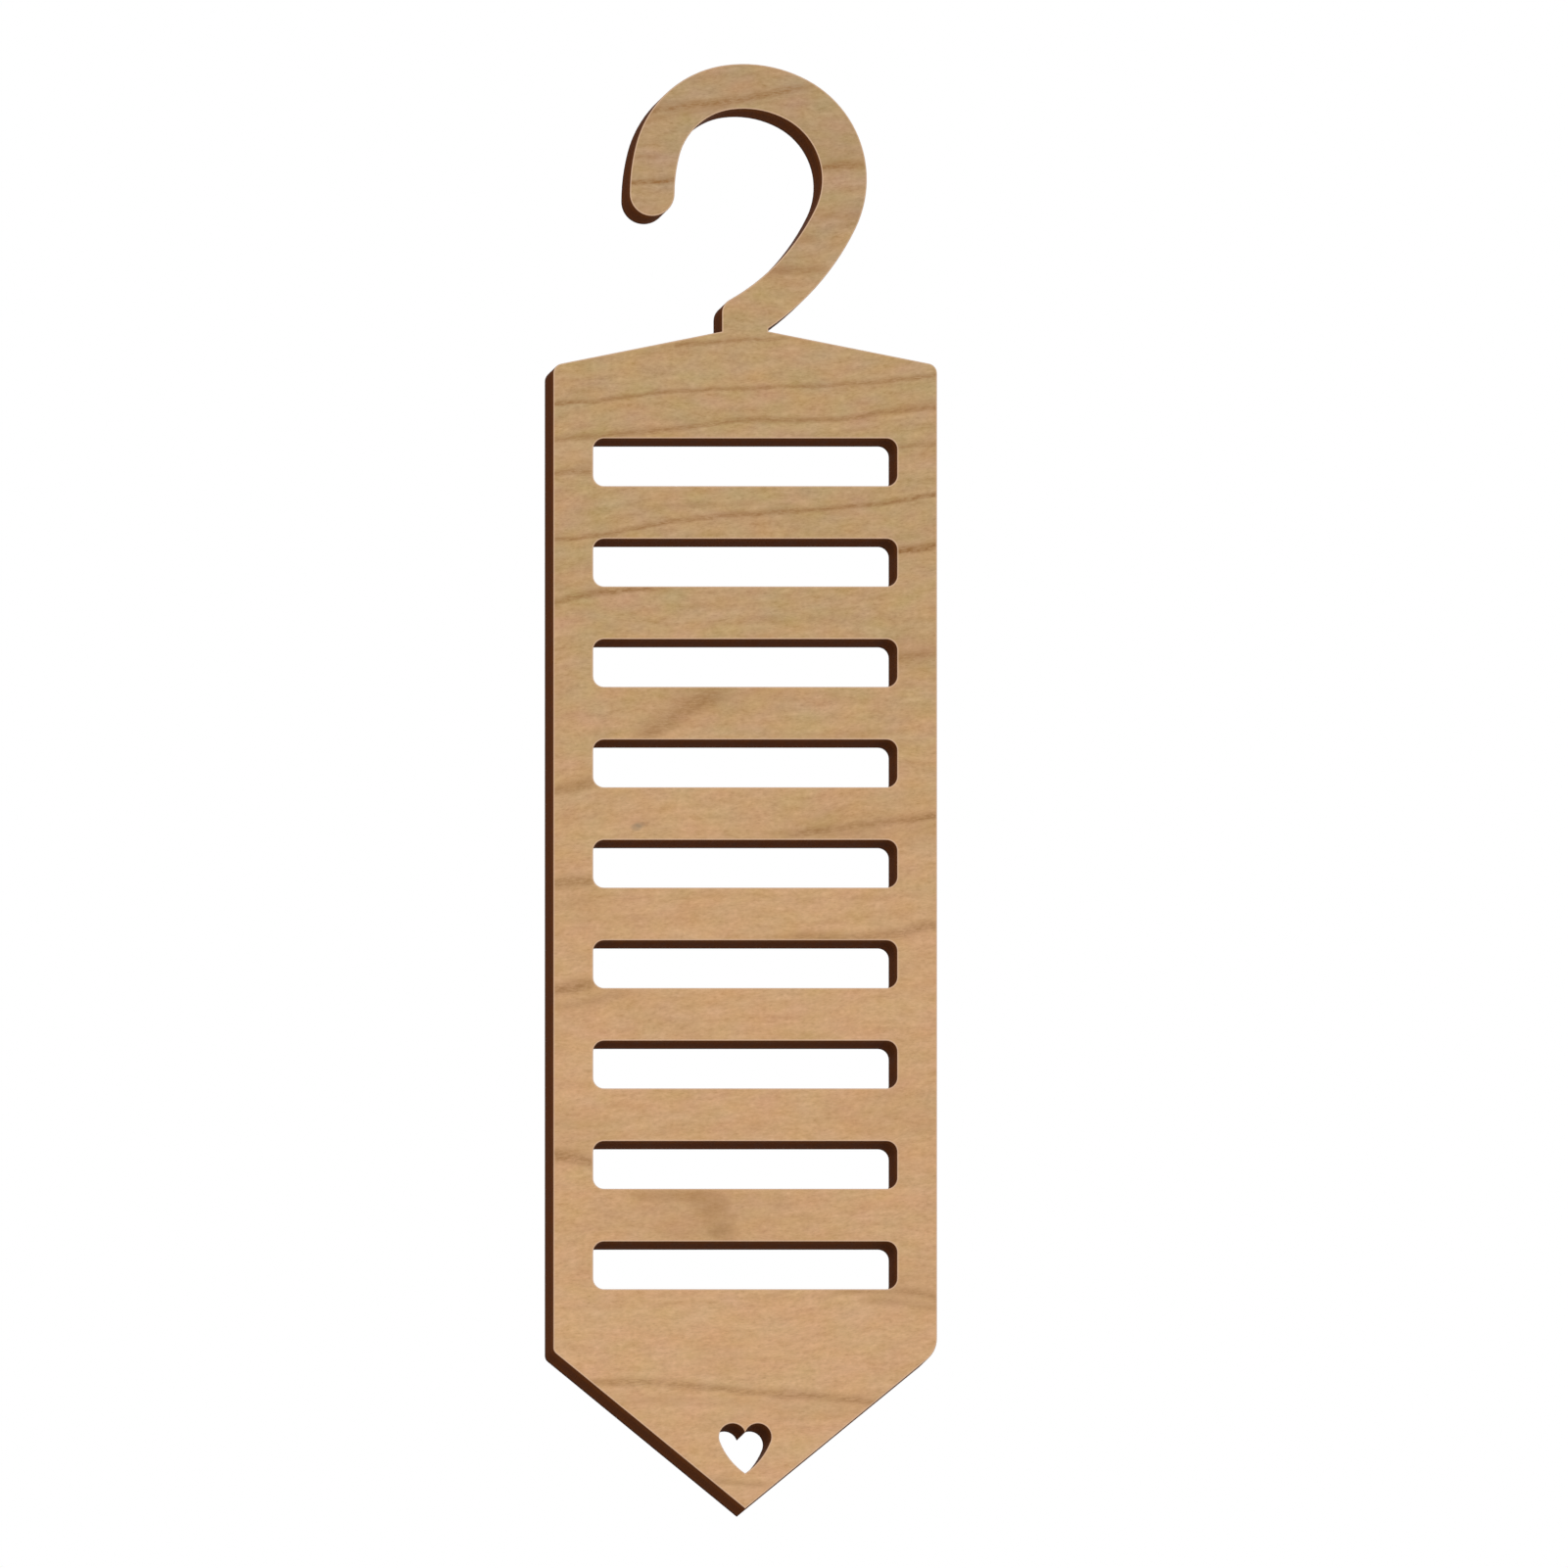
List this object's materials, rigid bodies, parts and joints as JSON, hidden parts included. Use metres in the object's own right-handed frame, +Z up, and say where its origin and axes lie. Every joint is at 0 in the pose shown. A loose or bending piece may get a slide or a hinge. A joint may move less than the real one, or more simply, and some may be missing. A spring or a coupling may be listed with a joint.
{
  "type": "tie hanger",
  "caption": "Flat plywood tie hanger shaped like a necktie, with a rail hook at the top, a ladder of long slots for ties and a heart cut through the pointed end.",
  "frame": {"origin": "where the centreline of the board meets the inside of the hook, halfway through the thickness: the point that rests on the rail", "axes": "+Z up along the board, away from its pointed end; +Y from the front face to the back face, along the rail; +X to the right as seen from the front, so the hook opens towards -X"},
  "size_m": [0.1, 0.006, 0.3765],
  "materials": {
    "face_veneer": "reddish-brown close-grained veneer with the grain across the board, thin satin oil finish, edges scorched dark by the cut",
    "crossband": "matt, only its scorched dark brown edge shows",
    "core": "matt, only its scorched dark brown edge shows"
  },
  "bodies": {
    "root": {"front_face_veneer": "face_veneer", "front_crossband": "crossband", "core_ply": "core", "back_crossband": "crossband", "back_face_veneer": "face_veneer"}
  },
  "joints": []
}
